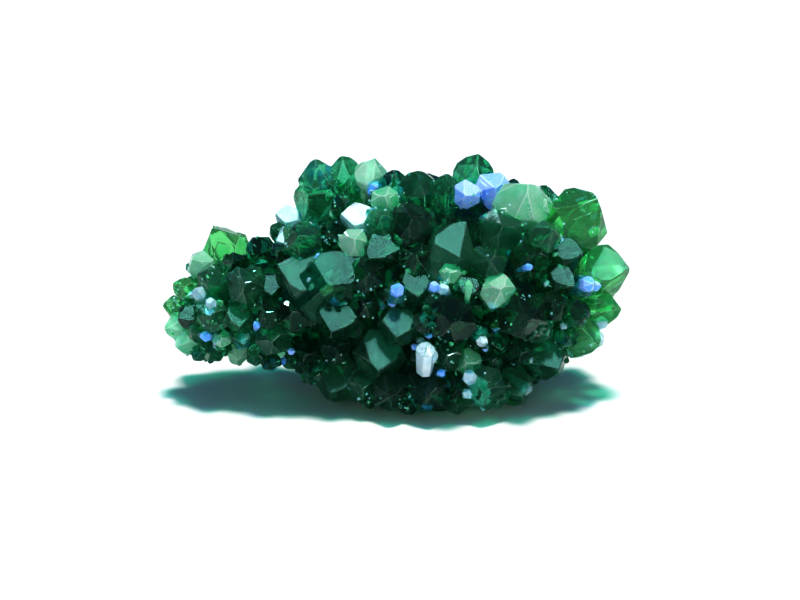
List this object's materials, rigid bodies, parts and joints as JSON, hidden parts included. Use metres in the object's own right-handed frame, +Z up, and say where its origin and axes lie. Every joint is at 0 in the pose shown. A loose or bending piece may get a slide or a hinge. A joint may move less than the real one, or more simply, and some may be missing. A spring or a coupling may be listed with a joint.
{
  "type": "crystal cluster",
  "caption": "Rough green crystal cluster: six-sided pointed crystals grown together into one lump, cut flat underneath to rest on.",
  "frame": {"origin": "on the flat cut underneath, below the middle of the cluster's length and depth", "axes": "+X along the cluster's length, away from the low lobe; +Y to its back; +Z up, square to the flat cut"},
  "size_m": [0.1117, 0.0571, 0.059],
  "materials": {
    "green_crystal": "gloss"
  },
  "bodies": {
    "root": {"crystal_cluster": "green_crystal"}
  },
  "joints": []
}
